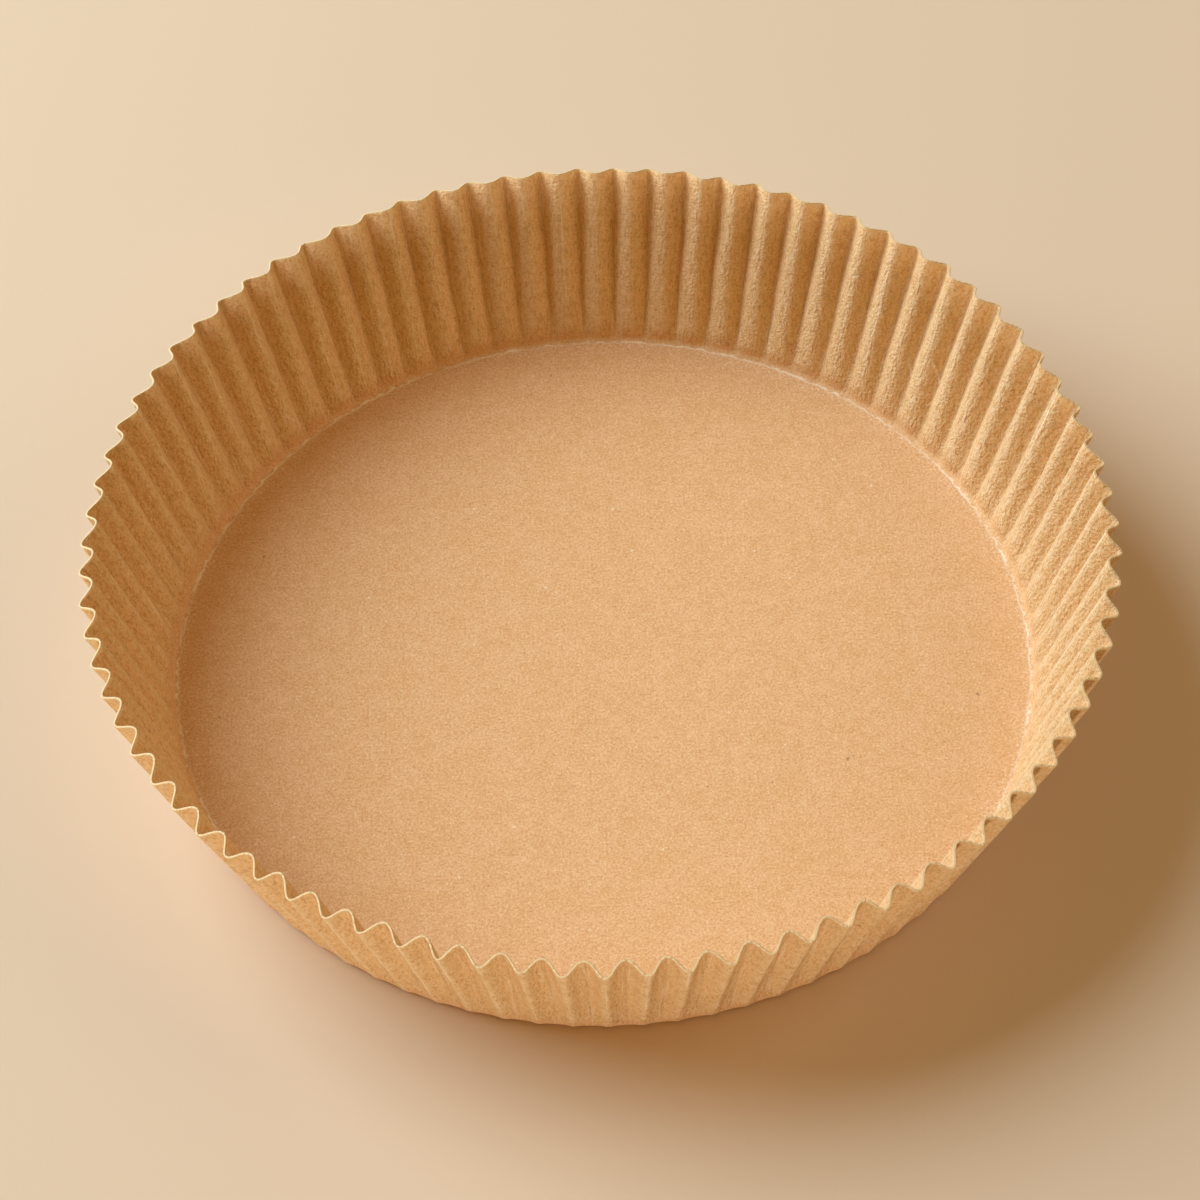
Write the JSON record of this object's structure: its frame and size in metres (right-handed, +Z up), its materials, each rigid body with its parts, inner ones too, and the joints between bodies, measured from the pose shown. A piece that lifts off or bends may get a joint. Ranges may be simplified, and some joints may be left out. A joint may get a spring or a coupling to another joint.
{
  "type": "air fryer paper liner",
  "caption": "Round shallow kraft paper liner with a flat base, a fluted wall that leans outwards and a zigzag cut rim, pressed from one disc; stands free.",
  "frame": {"origin": "centre of the flat base's underside, on the surface that the liner stands on", "axes": "+Z up along the axis that the flutes repeat about, from the base towards the open rim; +X towards one outward fold; +Y follows from the right hand"},
  "size_m": [0.2359, 0.236, 0.0469],
  "materials": {
    "kraft_paper": "matte"
  },
  "bodies": {
    "root": {"liner": "kraft_paper"}
  },
  "joints": []
}
